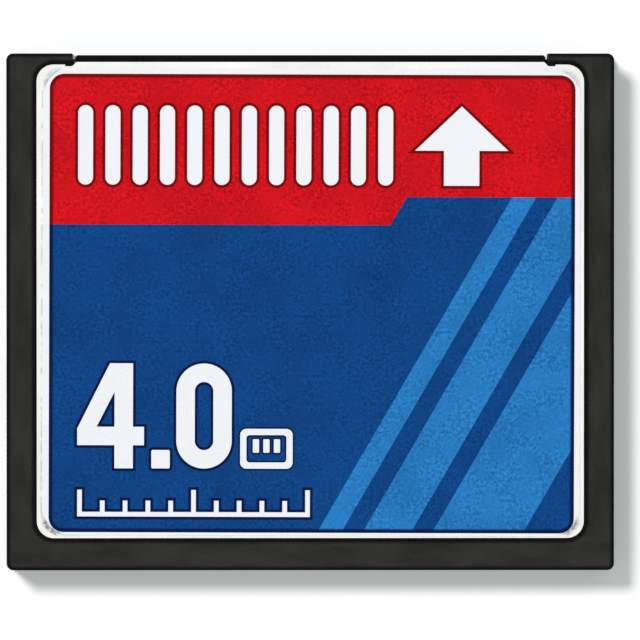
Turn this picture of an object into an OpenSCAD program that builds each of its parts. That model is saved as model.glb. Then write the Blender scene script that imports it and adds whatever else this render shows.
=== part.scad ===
// Removable flash memory card with a 50-way socket header
// Millimetres. X runs across the card, +Y points out of the connector end and +Z out of the labelled face.
// The origin is at the middle of the outline, on the underside.

/* [Card] */
// Width over the rails
card_w = 42.8; // [42.4:0.1:48]
// Length from the posts' faces to the finger end
card_l = 36.4; // [36:0.1:50]
// Thickness over the frame
card_t = 3.3; // [3.3:0.05:5]
// Radius of the upright corners
corner_r = 0.5; // [0.2:0.1:1]
// Rounding of the frame's long edges
edge_r = 0.12; // [0.05:0.01:0.2]

/* [Frame] */
// Rail seen beside the covers
rail_show = 2.13; // [1.9:0.01:2.3]
// Rear bar seen behind the covers
rear_show = 2.27; // [2.1:0.01:3]
// Posts seen in front of the covers' corners
post_show = 0.78; // [0.6:0.02:0.84]
// Ledge under the edge of each cover
ledge_w = 1; // [0.6:0.1:1.2]
// Shelf under the edge of the circuit board
shelf_w = 0.5; // [0.3:0.05:0.8]
// Inside corner radius of the frame's well
well_r = 0.4; // [0.2:0.1:0.6]
// Width of each post, from the card's side to the connector's opening
post_w = 4.8; // [4.5:0.05:5.5]
// Width of the nib at the inner end of each post
nib_w = 0.5; // [0.3:0.02:0.6]
// Reach of the nib, from the posts' faces
nib_reach = 0.9; // [0.86:0.02:1.1]
// Width of the open notch between post and connector
notch_w = 0.16; // [0.1:0.02:0.4]
// Length of that notch, from the posts' faces
notch_l = 0.4; // [0.2:0.05:0.5]

/* [Guide grooves] */
// Length of both grooves, from the connector end
groove_l = 25.78; // [20:0.01:30]
// Depth of both grooves into the rails
groove_depth = 0.57; // [0.3:0.01:0.8]
// Height of the groove on the right, label up
right_groove_h = 1.6; // [1.2:0.05:1.8]
// Height of the groove on the left
left_groove_h = 1.01; // [0.6:0.01:1.2]
// Length of the flare at each groove's mouth
flare_l = 0.6; // [0.2:0.1:2]
// Rise of the flare above and below the groove
flare_rise = 0.15; // [0.05:0.05:0.3]

/* [Finger groove] */
// Land between the finger groove and the rear face
finger_land = 1.01; // [0.8:0.01:1.1]
// Width of the finger groove
finger_w = 0.76; // [0.5:0.01:0.9]
// Depth of the finger groove into the underside
finger_depth = 0.63; // [0.3:0.01:1]
// Length of the finger groove across the card
finger_l = 33; // [20:1:38]

/* [Covers] */
// Thickness of each steel cover
cover_t = 0.15; // [0.1:0.01:0.2]
// Depth of each cover below the frame's face
cover_sink = 0.15; // [0.14:0.01:0.2]
// Corner radius of the covers
cover_r = 1.2; // [0.6:0.1:2]
// Gap all round each cover
cover_gap = 0.08; // [0.02:0.01:0.1]
// Reach of each cover's middle past its front corners
tongue_l = 0.18; // [0.05:0.01:0.2]
// Thickness of the adhesive under each cover
bond_t = 0.05; // [0.03:0.01:0.08]
// Gap between the adhesive and what stands around it
bond_gap = 0.05; // [0.02:0.01:0.15]
// How far the adhesive stops from the ledge's inner edge
bond_lap = 0.05; // [0.02:0.01:0.15]
// Thickness of the insulating film inside each cover
insulator_t = 0.05; // [0.03:0.01:0.05]
// Gap between the insulating film and the walls of the well
insulator_gap = 0.1; // [0.05:0.05:1]
// Locking tabs folded down on each side of a cover
tab_count = 3; // [1:1:4]
// Spacing of the tabs
tab_pitch = 10; // [5:0.5:11]
// Width of a tab at its fold
tab_w = 2; // [1:0.1:3]
// How much narrower a tab is at its end
tab_taper = 0.6; // [0.2:0.1:0.8]
// Drop of the tabs below the cover
tab_drop = 0.8; // [0.5:0.05:1]
// Clearance around a tab in its slot
tab_clear = 0.05; // [0.02:0.01:0.08]

/* [Label] */
// Thickness of the label film
film_t = 0.1; // [0.05:0.01:0.1]
// Thickness of the ink on the film
ink_t = 0.02; // [0.01:0.01:0.03]
// Steel seen on average beside the film
film_side_margin = 0.35; // [0.3:0.01:2]
// Steel seen on average before and behind the film
film_end_margin = 0.23; // [0.2:0.01:2]
// Corner radius of the film
film_r = 1.8; // [0.8:0.1:3]
// How far the film is stuck right of centre
film_shift_x = 0.06; // [-0.2:0.02:0.2]
// How far the film is stuck forward of centre
film_shift_y = -0.05; // [-0.1:0.01:0.1]
// How far the film is turned from the card's edges, in degrees
film_turn = -0.2; // [-0.3:0.05:0.3]
// White border beside the print
border_side = 0.42; // [0.2:0.01:2]
// White border before and behind the print
border_end = 0.31; // [0.2:0.01:2]
// How far the print sits right of the film's centre
print_shift_x = 0.05; // [-0.1:0.01:0.1]
// How far the print sits forward of the film's centre
print_shift_y = -0.11; // [-0.15:0.01:0.15]
// Corner radius of the print
print_r = 1.05; // [0.5:0.05:2]

/* [Label design] */
// Length of the red area at its left side
red_left_l = 10.6; // [9:0.1:13]
// Length of the red area at its right side
red_right_l = 8.6; // [8:0.1:12]
// Distance of the red area's step from the print's right side
red_step_from_right = 13; // [10:0.5:18]
// Slant of the step and the stripes from the card's length
stripe_slant = 30; // [10:1:40]
// Widths of the three light blue stripes, from the right
stripe_widths = [6.4, 3.4, 1.7];
// Gap between two stripes
stripe_gap = 1.5; // [0.8:0.1:3]
// Distance of the first stripe's foot from the print's right side
stripe_from_right = 3.6; // [2:0.2:5]
// Distance of the white marks from the print's left side
marks_from_left = 2; // [1:0.1:4]
// Number of bars in the white comb
comb_bars = 12; // [4:1:16]
// Spacing of the comb's bars
comb_pitch = 1.92; // [1.5:0.02:2]
// Width of one bar of the comb
comb_bar_w = 1.06; // [0.6:0.02:1.3]
// Length of the comb and of the arrow
header_mark_l = 5.6; // [3:0.1:6]
// Distance of the comb and the arrow from the print's front side
header_from_front = 2.2; // [1:0.1:3]
// Width of the insertion arrow
arrow_w = 6.6; // [4:0.1:8]
// Distance of the arrow's middle from the print's right side
arrow_from_right = 8; // [6:0.1:12]
// Length of the ruled scale
scale_w = 16.4; // [10:0.2:18]
// Number of divisions of the scale
scale_parts = 10; // [4:1:20]
// Height of the scale's long marks
scale_h = 1.9; // [1:0.1:2.4]
// Stroke of the scale
scale_stroke = 0.34; // [0.2:0.02:0.5]
// Distance of the scale from the print's rear side
scale_from_rear = 1.1; // [0.6:0.1:1.5]

/* [Connector] */
// Spacing of the sockets along a row
socket_pitch = 1.27; // [1.2:0.01:1.27]
// Distance between the two rows
row_pitch = 1.27; // [1.2:0.01:1.3]
// Least distance from the last sockets' middles to the housing's sides
end_wall = 1.2; // [0.8:0.1:1.3]
// Length of the housing along the card
housing_l = 4.8; // [4.4:0.1:6]
// Depth of the housing's face behind the posts' faces
face_sink = 0.12; // [0:0.02:0.2]
// Depth of the front lip below the card's faces
lip_sink = 0.05; // [0.02:0.01:0.2]
// Chamfer on the front's upright corners
housing_chamfer = 0.14; // [0.1:0.02:0.3]
// Clearance between the housing and the frame
housing_clear = 0.05; // [0.02:0.01:0.08]
// Step from the ears' backs to the housing's back
ear_step = 0.5; // [0.2:0.1:1.5]
// Width of each funnel at the face
funnel_w = 0.95; // [0.8:0.01:1.1]
// Length of each funnel
funnel_l = 0.5; // [0.3:0.05:0.7]
// Width of the square throat behind each funnel
throat_w = 0.56; // [0.5:0.02:0.6]
// Depth of the throat's inner end behind the face
throat_end = 0.9; // [0.8:0.05:1]
// Height of the chamber around each contact
chamber_h = 0.74; // [0.7:0.01:0.86]
// Length of the slot that grips each contact
grip_l = 1.6; // [1:0.1:2]

/* [Contacts] */
// Thickness of the contact strip
contact_t = 0.2; // [0.15:0.01:0.3]
// Clearance beside each contact in its slot
contact_clear = 0.02; // [0.01:0.01:0.04]
// Distance of the fork's tip behind the throat
tip_gap = 0.12; // [0.05:0.01:0.3]
// Distance of the fork's root from the grip slot
root_gap = 0.2; // [0.1:0.05:0.4]
// Distance of the tines' grip behind their tip
pinch_from_tip = 0.45; // [0.3:0.05:0.6]
// Opening between the tines at the tip
tip_open = 0.38; // [0.3:0.02:0.4]
// Opening between the tines where they grip a pin
grip_open = 0.26; // [0.2:0.02:0.3]
// Clearance above and below the fork in its chamber
fork_clear = 0.05; // [0.03:0.01:0.1]
// Widening of the slit between the tines towards its root
slit_relief = 0.04; // [0:0.01:0.06]
// Length of the slit's closed end
slit_end_l = 0.25; // [0.1:0.05:0.4]
// Height of the contact's body in its slot
contact_h = 0.54; // [0.4:0.02:0.56]
// Height of the barbs above that body
barb_h = 0.03; // [0.02:0.01:0.04]
// Length of a barb
barb_l = 0.3; // [0.1:0.05:0.5]
// Length of the foot soldered to the board
foot_l = 0.8; // [0.6:0.1:1.2]
// Height of that foot
foot_h = 0.15; // [0.1:0.01:0.2]
// Gap between the housing and the foot
foot_gap = 0.35; // [0.25:0.05:0.6]

/* [Circuit board] */
// Thickness of the board
board_t = 0.4; // [0.3:0.05:0.4]
// Gap between the board and the frame or the housing
board_gap = 0.1; // [0.05:0.01:0.15]
// Corner radius of the board
board_r = 0.6; // [0.4:0.1:1]
// Thickness of the solder pads
pad_t = 0.035; // [0.02:0.005:0.04]
// How far a pad reaches past the foot on it
pad_margin = 0.12; // [0.05:0.01:0.15]
// How far a contact's pad reaches past the contact on each side
contact_pad_side = 0.24; // [0.1:0.02:0.3]
// How far a fine lead's pad reaches past the lead on each side
fine_pad_side = 0.03; // [0.01:0.01:0.05]
// Width of the frame's ribs that locate the board
rib_w = 1; // [0.6:0.1:2]
// Reach of those ribs into the board
rib_reach = 0.5; // [0.3:0.05:0.7]
// Height of those ribs above the board
rib_rise = 0.5; // [0.2:0.1:0.8]
// Distance of those ribs from the rear of the well
rib_from_rear = 9.7; // [5:0.1:12]

/* [Chips] */
// Gap between the chips and the insulating film
chip_gap = 0.05; // [0.03:0.01:0.3]
// Gap between a chip's body and the board
chip_standoff = 0.05; // [0.04:0.01:0.05]
// Draft on the sides of the chip bodies, in degrees
chip_draft = 8; // [4:1:12]
// Depth of the dimple that marks the first lead
dimple_depth = 0.05; // [0.03:0.01:0.1]
// Width of the dimple
dimple_w = 1; // [0.6:0.1:1.4]
// Distance of the dimple's middle from the chip's two sides
dimple_from_side = 1.3; // [1:0.1:2]
// Spacing of the fine leads
lead_pitch = 0.5; // [0.4:0.05:0.5]
// Width of the fine leads
lead_w = 0.2; // [0.15:0.01:0.25]
// Thickness of all leads
lead_t = 0.13; // [0.1:0.01:0.16]
// Side of the square controller
controller_w = 14; // [12.5:0.5:14]
// Least distance from the controller's corners to its last leads
controller_lead_margin = 0.95; // [0.8:0.05:2]
// Reach of the controller's leads
controller_reach = 1; // [0.8:0.05:1.2]
// Width of a flash chip
flash_w = 12; // [10:0.5:13]
// Length of a flash chip
flash_l = 18.4; // [16:0.1:20]
// Least distance from a flash chip's corners to its last leads
flash_lead_margin = 0.2; // [0.1:0.05:1]
// Reach of a flash chip's leads
flash_reach = 0.8; // [0.6:0.05:1]

/* [Small parts] */
// Gap between two columns of small parts, and beside the chip next to them
part_gap = 1; // [0.6:0.1:1.4]
// Length of the voltage regulator
regulator_l = 2.9; // [2.4:0.1:3.4]
// Width of the voltage regulator
regulator_w = 1.6; // [1.2:0.1:1.8]
// Gap between the regulator and the insulating film
regulator_gap = 0.15; // [0.05:0.05:0.3]
// Spacing of the regulator's leads
regulator_pitch = 0.95; // [0.8:0.05:1]
// Width of the regulator's leads
regulator_lead_w = 0.4; // [0.3:0.02:0.5]
// Reach of the regulator's leads
regulator_reach = 0.6; // [0.5:0.05:0.8]
// Length of the clock crystal
crystal_l = 3.2; // [2.6:0.1:3.8]
// Width of the clock crystal
crystal_w = 2.5; // [2:0.1:3]
// Height of the crystal's ceramic base
crystal_base_h = 0.5; // [0.4:0.05:0.6]
// Height of the crystal's lid
crystal_lid_h = 0.15; // [0.1:0.01:0.25]
// Rim of the base left bare around the lid
crystal_rim = 0.25; // [0.15:0.05:0.5]
// Radius of the upright corners of the crystal's base and lid
crystal_r = 0.18; // [0.1:0.02:0.3]
// Length of the pad at each corner of the crystal
crystal_pad_l = 0.9; // [0.6:0.1:1.1]
// Width of those pads
crystal_pad_w = 0.8; // [0.5:0.1:0.9]
// Length of a capacitor or resistor
passive_l = 1.6; // [1.2:0.1:1.8]
// Width of a capacitor or resistor
passive_w = 0.8; // [0.6:0.05:1]
// Gap between the capacitors and the insulating film
capacitor_gap = 0.22; // [0.1:0.02:0.4]
// Height of a resistor
resistor_h = 0.45; // [0.35:0.05:0.5]
// Length of the metal at each end
end_l = 0.3; // [0.2:0.02:0.4]
// Thickness of the metal over the body
end_skin = 0.02; // [0.01:0.01:0.04]
// Gap between two parts in a column
row_gap = 1.8; // [0.8:0.1:2]
// Parts in each column
part_rows = 6; // [1:1:6]
// Columns of capacitors
capacitor_columns = 2; // [1:1:2]
// Columns of resistors
resistor_columns = 2; // [1:1:2]

/* [Hidden] */
$fn = 96;
past = 1; // cutters run past the faces they cut by this much
frame_colour = [0.18, 0.18, 0.18];
steel_colour = [0.88, 0.88, 0.86];
bond_colour = [0.85, 0.8, 0.65];
insulator_colour = [0.75, 0.6, 0.25];
film_colour = [0.96, 0.97, 0.98];
red_colour = [0.79, 0.1, 0.13];
light_blue_colour = [0.16, 0.47, 0.73];
dark_blue_colour = [0.08, 0.27, 0.51];
housing_colour = [0.12, 0.12, 0.12];
gold_colour = [0.85, 0.68, 0.35];
board_colour = [0.07, 0.33, 0.2];
solder_colour = [0.75, 0.75, 0.73];
chip_colour = [0.13, 0.13, 0.14];
ceramic_colour = [0.72, 0.6, 0.45];
crystal_colour = [0.8, 0.78, 0.72];
resistor_colour = [0.1, 0.1, 0.12];

// Heights, from the underside up
mid_z = card_t / 2;
cover_top_z = card_t - cover_sink;
cover_under_z = cover_top_z - cover_t;
ledge_z = cover_under_z - bond_t;
film_top_z = cover_top_z + film_t;
board_top_z = mid_z + board_t / 2;
board_under_z = mid_z - board_t / 2;
pad_top_z = board_top_z + pad_t;
chip_z = board_top_z + chip_standoff;
ceiling_z = cover_under_z - insulator_t;
chip_h = ceiling_z - chip_gap - chip_z;
regulator_h = ceiling_z - regulator_gap - chip_z;
capacitor_h = ceiling_z - capacitor_gap - pad_top_z - 2 * end_skin;
upper_row_z = mid_z + row_pitch / 2;

// Outlines, from the card's middle
front_y = card_l / 2;
rear_y = -card_l / 2;
cover_w = card_w - 2 * rail_show;
cover_rear_y = rear_y + rear_show;
cover_corner_y = front_y - post_show;
tongue_y = cover_corner_y + tongue_l;
cover_mid_y = (cover_rear_y + cover_corner_y) / 2;
well_w = cover_w - 2 * ledge_w;
well_rear_y = cover_rear_y + ledge_w;
post_back_y = cover_corner_y - ledge_w;
opening_half = card_w / 2 - post_w;
nib_in = opening_half + notch_w;
nib_out = nib_in + nib_w;
nib_y = front_y - nib_reach;

// Connector
housing_w = 2 * (opening_half - housing_clear);
socket_columns = floor((housing_w - 2 * end_wall) / socket_pitch) + 1;
face_y = front_y - face_sink;
lip_back_y = tongue_y + cover_gap;
housing_back_y = face_y - housing_l;
ear_front_y = post_back_y - housing_clear;
ear_back_y = housing_back_y + ear_step;
ear_half = well_w / 2 - 2 * housing_clear;
ear_chamfer = well_r;
throat_y = face_y - funnel_l;
chamber_y = face_y - throat_end;
grip_y = housing_back_y + grip_l;
tip_y = chamber_y - tip_gap;
root_y = grip_y + root_gap;
fork_h = chamber_h - 2 * fork_clear;
foot_front_y = housing_back_y - foot_gap;
foot_end_y = foot_front_y - foot_l;

// Circuit board
board_w = well_w - 2 * board_gap;
board_rear_y = well_rear_y + board_gap;
board_front_y = housing_back_y - board_gap;
rib_y = well_rear_y + rib_from_rear;
board_free_y = foot_end_y - pad_margin;
chip_y = (well_rear_y + shelf_w + board_free_y) / 2;
controller_span = controller_w + 2 * controller_reach;
chip_side_gap = (board_w - controller_span - flash_w) / 3;
controller_x = -board_w / 2 + chip_side_gap + controller_span / 2;
flash_x = board_w / 2 - chip_side_gap - flash_w / 2;
crystal_x = -flash_x + flash_w / 2 + part_gap + crystal_l / 2;
crystal_y = chip_y - part_gap - crystal_w / 2;
regulator_y = chip_y + part_gap + regulator_w / 2 + regulator_reach;
first_column_x = crystal_x + (crystal_l + passive_l) / 2 + part_gap;
controller_lead_count = leads_on(controller_w, controller_lead_margin);
flash_lead_count = leads_on(flash_w, flash_lead_margin);

// Label
film_w = cover_w - 2 * film_side_margin;
film_l = cover_corner_y - cover_rear_y - 2 * film_end_margin;
film_y = cover_mid_y + film_shift_y;
print_w = film_w - 2 * border_side;
print_l = film_l - 2 * border_end;
print_left = print_shift_x - print_w / 2;
print_right = print_shift_x + print_w / 2;
print_front = print_shift_y + print_l / 2;
print_rear = print_shift_y - print_l / 2;
marks_x = print_left + marks_from_left;

// Shared shapes

// Rectangle with round corners, about its own middle
module rounded_rect(w, l, r) {
    square([w - 2 * r, l], center = true);
    square([w, l - 2 * r], center = true);
    for (x = [-1, 1], y = [-1, 1]) translate([x * (w / 2 - r), y * (l / 2 - r)]) circle(r);
}

// Bar with half-round ends, lying along X about its own middle
module stadium(w, l) {
    square([w - l, l], center = true);
    for (x = [-1, 1]) translate([x * (w - l) / 2, 0]) circle(l / 2);
}

// Closed outline from its right half, given from one end of the middle line to the other
function both_halves(points) = concat(
    points,
    [for (i = [len(points) - 1:-1:0]) [-points[i][0], points[i][1]]]);

// Extrudes an outline drawn in Y and Z along X, centred
module along_x(length) {
    rotate([90, 0, 90]) linear_extrude(length, center = true) children();
}

// Extrudes an outline drawn in X and Z along Y, centred
module along_y(length) {
    rotate([90, 0, 0]) linear_extrude(length, center = true) children();
}

// Plate with round upright corners and rounded top and bottom edges
module rounded_block(w, l, h, upright_r, long_r) {
    intersection() {
        linear_extrude(h) rounded_rect(w, l, upright_r);
        along_y(l + past) translate([0, h / 2]) rounded_rect(w, h, long_r);
        along_x(w + past) translate([0, h / 2]) rounded_rect(l, h, long_r);
    }
}

// Turns a shape over, from above the board to below it
module turned_under() {
    translate([0, 0, card_t]) mirror([0, 0, 1]) children();
}

// Flat sheet of the given outline, from a height up
module sheet(z, thickness) {
    translate([0, 0, z]) linear_extrude(thickness) children();
}

// Frame

// Outline of the well that the frame walls in, narrowed on three sides
module well_outline(inset = 0) {
    translate([0, (post_back_y + well_rear_y + inset) / 2])
        rounded_rect(well_w - 2 * inset, post_back_y - well_rear_y - inset, well_r);
}

// Room behind each post for the ears of the connector housing
module ear_room_outline() {
    intersection() {
        well_outline();
        translate([-well_w, ear_back_y - housing_clear]) square([2 * well_w, card_l]);
    }
}

module frame_well() {
    sheet(board_under_z, card_t) well_outline();
    sheet(-past, card_t) {
        well_outline(shelf_w);
        ear_room_outline();
    }
}

// Opening between the posts, wider at the front for the open notches
module connector_opening() {
    sheet(-past, card_t + 2 * past) {
        translate([-opening_half, post_back_y - past]) square([2 * opening_half, ledge_w + card_l]);
        translate([-nib_in, front_y - notch_l]) square([2 * nib_in, card_l]);
    }
}

// Slots in the ledge for the tabs of the upper cover
module tab_slots() {
    for (side = [-1, 1], i = [0:tab_count - 1])
        translate([
            side * (cover_w - cover_t) / 2 - cover_t / 2 - tab_clear,
            tab_y(i) - tab_w / 2 - tab_clear,
            cover_under_z - tab_drop - tab_clear
        ])
            cube([cover_t + 2 * tab_clear, tab_w + 2 * tab_clear, card_t]);
}

// Side groove on the right, with a flared mouth
module guide_groove(height) {
    flared = height / 2 + flare_rise;
    translate([card_w / 2 - groove_depth + past, 0, mid_z])
        along_x(2 * past)
            polygon([
                [front_y - groove_l, height / 2],
                [front_y - flare_l, height / 2],
                [front_y, flared],
                [front_y + past, flared],
                [front_y + past, -flared],
                [front_y, -flared],
                [front_y - flare_l, -height / 2],
                [front_y - groove_l, -height / 2]
            ]);
}

module finger_groove() {
    translate([0, rear_y + finger_land + finger_w / 2])
        sheet(-past, finger_depth + past) stadium(finger_l, finger_w);
}

// Ribs on the side walls that locate the board
module locating_ribs() {
    root = 0.2;
    for (side = [-1, 1])
        translate([side * (well_w / 2 + (root - rib_reach) / 2), rib_y, board_under_z])
            linear_extrude(board_t + rib_rise) square([rib_reach + root, rib_w], center = true);
}

module frame() {
    color(frame_colour) {
        difference() {
            rounded_block(card_w, card_l, card_t, corner_r, edge_r);
            frame_well();
            connector_opening();
            sheet(ledge_z, card_t) cover_outline(cover_gap);
            tab_slots();
            turned_under() {
                sheet(ledge_z, card_t) cover_outline(cover_gap);
                tab_slots();
            }
            guide_groove(right_groove_h);
            mirror([1, 0, 0]) guide_groove(left_groove_h);
            finger_groove();
        }
        locating_ribs();
    }
}

// Covers

// Slot in a cover's front edge around one nib, on the right, with a slanted inner side
module nib_slot(grow) {
    bottom = nib_y + grow;
    inner = nib_in + grow * sqrt(2);
    polygon([
        [inner, bottom],
        [nib_out - grow, bottom],
        [nib_out - grow, front_y + past],
        [inner - (front_y + past - bottom), front_y + past]
    ]);
}

// Outline of a cover, grown on all sides
module cover_outline(grow = 0) {
    difference() {
        union() {
            translate([0, cover_mid_y])
                rounded_rect(cover_w + 2 * grow, cover_corner_y - cover_rear_y + 2 * grow, cover_r + grow);
            translate([-nib_in, cover_mid_y]) square([2 * nib_in, tongue_y + grow - cover_mid_y]);
        }
        nib_slot(grow);
        mirror([1, 0]) nib_slot(grow);
    }
}

// Ring of adhesive on the ledges and on the housing's back, inside the tabs
module bond_outline() {
    inset = cover_t + tab_clear + bond_gap;
    front = nib_y - bond_gap;
    rear = cover_rear_y + bond_gap;
    difference() {
        translate([0, (front + rear) / 2])
            rounded_rect(cover_w - 2 * inset, front - rear, cover_r - bond_gap);
        translate([0, (post_back_y + well_rear_y) / 2 - bond_lap])
            square([well_w + 2 * bond_lap, post_back_y - well_rear_y], center = true);
    }
}

module insulator_outline() {
    translate([0, (post_back_y + well_rear_y) / 2 - bond_lap])
        rounded_rect(
            well_w - 2 * insulator_gap,
            post_back_y - well_rear_y - 2 * insulator_gap,
            well_r);
}

function tab_y(i) = cover_mid_y + (i - (tab_count - 1) / 2) * tab_pitch;

// Tabs folded down along both sides
module cover_tabs() {
    for (side = [-1, 1], i = [0:tab_count - 1])
        translate([side * (cover_w - cover_t) / 2, tab_y(i), cover_under_z])
            along_x(cover_t)
                polygon([
                    [-tab_w / 2, cover_t / 2],
                    [tab_w / 2, cover_t / 2],
                    [tab_w / 2, 0],
                    [(tab_w - tab_taper) / 2, -tab_drop],
                    [-(tab_w - tab_taper) / 2, -tab_drop],
                    [-tab_w / 2, 0]
                ]);
}

// Upper cover: a flat sheet with its tabs
module cover() {
    sheet(cover_under_z, cover_t) cover_outline();
    cover_tabs();
}

module top_cover() {
    color(steel_colour) cover();
}

module bottom_cover() {
    color(steel_colour) turned_under() cover();
}

module top_cover_adhesive() {
    color(bond_colour) sheet(ledge_z, bond_t) bond_outline();
}

module bottom_cover_adhesive() {
    color(bond_colour) turned_under() sheet(ledge_z, bond_t) bond_outline();
}

module top_insulator() {
    color(insulator_colour) sheet(cover_under_z - insulator_t, insulator_t) insulator_outline();
}

module bottom_insulator() {
    color(insulator_colour)
        turned_under() sheet(cover_under_z - insulator_t, insulator_t) insulator_outline();
}

// Label

// Layer of the label, with its outline drawn from the film's middle
module label_layer(z, thickness) {
    translate([film_shift_x, film_y, 0]) rotate(film_turn) sheet(z, thickness) children();
}

module label_film() {
    color(film_colour) label_layer(cover_top_z, film_t) rounded_rect(film_w, film_l, film_r);
}

// Whole printed area
module print_outline() {
    translate([print_shift_x, print_shift_y]) rounded_rect(print_w, print_l, print_r);
}

// Front part of the label, with a slanted step in its rear edge
module red_area() {
    step_x = print_right - red_step_from_right;
    step_run = (red_left_l - red_right_l) * tan(stripe_slant);
    polygon([
        [print_left - past, print_front - red_left_l],
        [step_x, print_front - red_left_l],
        [step_x + step_run, print_front - red_right_l],
        [print_right + past, print_front - red_right_l],
        [print_right + past, print_front + past],
        [print_left - past, print_front + past]
    ]);
}

// Sum of the first n numbers of a list
function sum_of(list, n) = n == 0 ? 0 : list[n - 1] + sum_of(list, n - 1);

// Slanted stripes that run from the rear edge to the red area
module stripe_area() {
    run = print_l * tan(stripe_slant);
    for (i = [0:len(stripe_widths) - 1]) {
        right = print_right - stripe_from_right - sum_of(stripe_widths, i) - i * stripe_gap;
        left = right - stripe_widths[i];
        polygon([
            [left, print_rear],
            [right, print_rear],
            [right + run, print_front],
            [left + run, print_front]
        ]);
    }
}

// Row of upright bars with round ends
module comb_mark() {
    for (i = [0:comb_bars - 1])
        translate([
            marks_x + comb_bar_w / 2 + i * comb_pitch,
            print_front - header_from_front - header_mark_l / 2
        ])
            rotate(90) stadium(header_mark_l, comb_bar_w);
}

// Arrow that points out of the connector end
module arrow_mark() {
    stem_w = arrow_w * 0.38;
    head_l = header_mark_l * 0.56;
    translate([print_right - arrow_from_right, print_front - header_from_front])
        polygon([
            [0, 0],
            [arrow_w / 2, -head_l],
            [stem_w / 2, -head_l],
            [stem_w / 2, -header_mark_l],
            [-stem_w / 2, -header_mark_l],
            [-stem_w / 2, -head_l],
            [-arrow_w / 2, -head_l]
        ]);
}

// Ruled scale with long and short marks
module scale_mark() {
    translate([marks_x, print_rear + scale_from_rear]) {
        square([scale_w, scale_stroke]);
        for (i = [0:scale_parts]) {
            mark_h = i % 5 == 0 ? scale_h : scale_h * 0.6;
            translate([i * (scale_w - scale_stroke) / scale_parts, 0]) square([scale_stroke, mark_h]);
        }
    }
}

module ink() {
    label_layer(film_top_z, ink_t) intersection() {
        print_outline();
        children();
    }
}

module red_print() {
    color(red_colour) ink() difference() {
        red_area();
        comb_mark();
        arrow_mark();
    }
}

module light_blue_print() {
    color(light_blue_colour) ink() difference() {
        stripe_area();
        red_area();
    }
}

module dark_blue_print() {
    color(dark_blue_colour) ink() difference() {
        print_outline();
        red_area();
        stripe_area();
        scale_mark();
    }
}

// Connector

// Outline of the housing seen from above, with ears behind the posts
module housing_plan() {
    half = housing_w / 2;
    polygon(both_halves([
        [half - housing_chamfer, face_y],
        [half, face_y - housing_chamfer],
        [half, ear_front_y],
        [ear_half - ear_chamfer, ear_front_y],
        [ear_half, ear_front_y - ear_chamfer],
        [ear_half, ear_back_y],
        [half, ear_back_y],
        [half, housing_back_y]
    ]));
}

// Outline of the housing seen from the side, with a lip in front of the covers
module housing_section() {
    lip_half = card_t / 2 - lip_sink;
    body_half = ledge_z - mid_z;
    break_edge = 0.1;
    polygon([
        [housing_back_y, body_half],
        [lip_back_y, body_half],
        [lip_back_y, lip_half],
        [face_y - break_edge, lip_half],
        [face_y, lip_half - break_edge],
        [face_y, -lip_half + break_edge],
        [face_y - break_edge, -lip_half],
        [lip_back_y, -lip_half],
        [lip_back_y, -body_half],
        [housing_back_y, -body_half]
    ]);
}

// Outline of one socket along Y: funnel, throat, chamber and grip slot, given as half widths
module socket_profile(chamber, grip) {
    throat = throat_w / 2;
    out = 0.2; // the funnel's cutter runs this far out of the face
    polygon(both_halves([
        [funnel_w / 2 + out * (funnel_w - throat_w) / 2 / funnel_l, face_y + out],
        [throat, throat_y],
        [throat, chamber_y],
        [chamber, chamber_y],
        [chamber, grip_y],
        [grip, grip_y],
        [grip, housing_back_y - past]
    ]));
}

function column_x(i) = (i - (socket_columns - 1) / 2) * socket_pitch;

// All sockets: the side profiles of the rows crossed with the plan profiles of the columns
module sockets() {
    intersection() {
        along_x(card_w)
            for (side = [-1, 1]) translate([0, mid_z + side * row_pitch / 2])
                mirror([1, -1]) socket_profile(chamber_h / 2, contact_h / 2 + barb_h);
        linear_extrude(card_t)
            for (i = [0:socket_columns - 1]) translate([column_x(i), 0])
                socket_profile(throat_w / 2, contact_t / 2 + contact_clear);
    }
}

module connector_housing() {
    color(housing_colour) difference() {
        intersection() {
            linear_extrude(card_t) housing_plan();
            translate([0, 0, mid_z]) along_x(card_w) housing_section();
        }
        sockets();
    }
}

// Stamped fork contact seen from the side, with Z measured from its socket's axis
module contact_outline() {
    foot_z = pad_top_z - upper_row_z;
    barb_y = grip_y - grip_l / 2;
    pinch_y = tip_y - pinch_from_tip;
    slit_y = root_y + slit_end_l;
    slit_half = grip_open / 2 + slit_relief;
    shoulder_y = (grip_y + root_y) / 2;
    bend_y = (housing_back_y + foot_front_y) / 2;
    body = contact_h / 2;
    fork = fork_h / 2;
    tip = (2 * fork + tip_open / 2) / 3;
    polygon([
        [tip_y, tip],
        [tip_y, tip_open / 2],
        [pinch_y, grip_open / 2],
        [slit_y, slit_half],
        [root_y, grip_open / 4],
        [root_y, -grip_open / 4],
        [slit_y, -slit_half],
        [pinch_y, -grip_open / 2],
        [tip_y, -tip_open / 2],
        [tip_y, -tip],
        [root_y, -fork],
        [shoulder_y, -body],
        [barb_y + barb_l, -body],
        [barb_y, -body - barb_h],
        [barb_y, -body],
        [housing_back_y, -body],
        [foot_front_y, foot_z],
        [foot_end_y, foot_z],
        [foot_end_y, foot_z + foot_h],
        [foot_front_y - foot_h, foot_z + foot_h],
        [bend_y, 0],
        [housing_back_y, body],
        [barb_y, body],
        [barb_y, body + barb_h],
        [barb_y + barb_l, body],
        [shoulder_y, body],
        [root_y, fork]
    ]);
}

module contact_row() {
    for (i = [0:socket_columns - 1])
        translate([column_x(i), 0, upper_row_z]) along_x(contact_t) contact_outline();
}

module upper_contacts() {
    color(gold_colour) contact_row();
}

module lower_contacts() {
    color(gold_colour) turned_under() contact_row();
}

// Circuit board

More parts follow.
